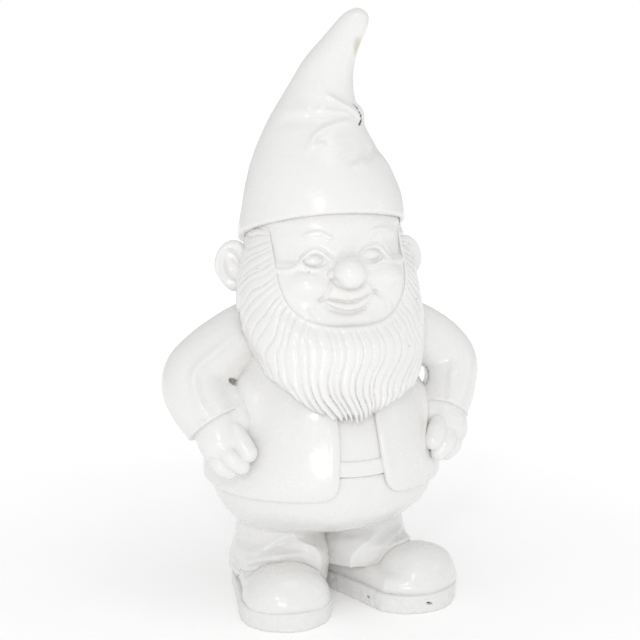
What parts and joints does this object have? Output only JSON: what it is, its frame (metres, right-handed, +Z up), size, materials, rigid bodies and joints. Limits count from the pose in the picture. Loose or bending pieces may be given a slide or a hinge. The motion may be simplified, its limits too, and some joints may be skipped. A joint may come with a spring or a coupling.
{
  "type": "garden gnome",
  "caption": "Standing garden gnome in a pointed hat, hands on hips, smiling over a long beard, in an open jacket and round-toed boots, all in white gloss paint.",
  "frame": {"origin": "on the ground under the middle of the figure's overall box", "axes": "+Z up; the gnome faces -Y; its left hand is on +X"},
  "size_m": [0.46, 0.3027, 0.8],
  "materials": {
    "white_gloss_paint": "glossy off-white paint over a moulded shell, slightly pitted, faint dirt in the creases",
    "sole_paint": "the same paint over a coarse pebbled casting",
    "base_plate": "matt grey glass-fibre laminate",
    "ballast": "rough cast mortar",
    "screws": "plain stainless",
    "pads": "matt black"
  },
  "bodies": {
    "root": {"hat": "white_gloss_paint", "head": "white_gloss_paint", "hair_and_beard": "white_gloss_paint", "ear_right": "white_gloss_paint", "ear_left": "white_gloss_paint", "torso": "white_gloss_paint", "jacket_back": "white_gloss_paint", "jacket_front_right": "white_gloss_paint", "jacket_front_left": "white_gloss_paint", "waistband": "white_gloss_paint", "trousers": "white_gloss_paint", "trouser_leg_right": "white_gloss_paint", "trouser_leg_left": "white_gloss_paint", "sleeve_right": "white_gloss_paint", "sleeve_left": "white_gloss_paint", "hand_right": "white_gloss_paint", "hand_left": "white_gloss_paint", "boot_right": "white_gloss_paint", "boot_left": "white_gloss_paint", "sole_right": "sole_paint", "sole_left": "sole_paint", "base_plate_right": "base_plate", "base_plate_left": "base_plate", "ballast_right": "ballast", "ballast_left": "ballast", "base_screws": "screws", "foot_pads": "pads"}
  },
  "joints": []
}
